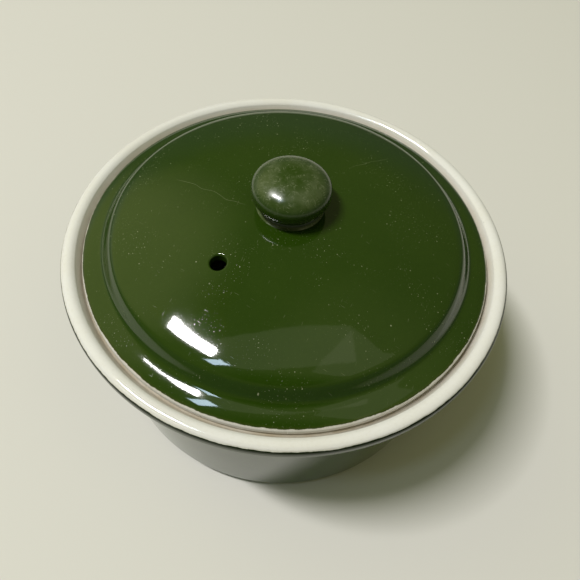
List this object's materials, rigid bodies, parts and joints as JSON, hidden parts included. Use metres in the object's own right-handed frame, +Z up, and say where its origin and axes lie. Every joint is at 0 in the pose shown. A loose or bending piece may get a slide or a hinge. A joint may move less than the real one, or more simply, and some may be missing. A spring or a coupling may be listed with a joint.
{
  "type": "covered casserole dish",
  "caption": "Round glazed stoneware casserole dish with a galleried rim and a domed, vented lid that lifts off by its mushroom knob.",
  "frame": {"origin": "centre of the circle that the dish stands on, on the table's surface", "axes": "+Z up along the axis that dish, lid and knob are turned about; the steam vent lies towards -X and -Y"},
  "size_m": [0.242, 0.242, 0.1575],
  "materials": {
    "dish_glaze": "glossy dark green glaze outside, glossy cream glaze inside and over the rim, bare buff foot ring",
    "lid_glaze": "glossy moss-green glaze on top, cream glaze underneath and along the edge",
    "knob_glaze": "glossy moss-green glaze, hazy with fine scuffs on the crown"
  },
  "bodies": {
    "dish": {"casserole_dish": "dish_glaze"},
    "lid": {"lid": "lid_glaze", "lid_knob": "knob_glaze"}
  },
  "joints": [
    {"name": "lid_lift", "type": "slide", "parent": "dish", "child": "lid", "axis": [0, 0, 1], "range_m": [0, 0.12]}
  ]
}
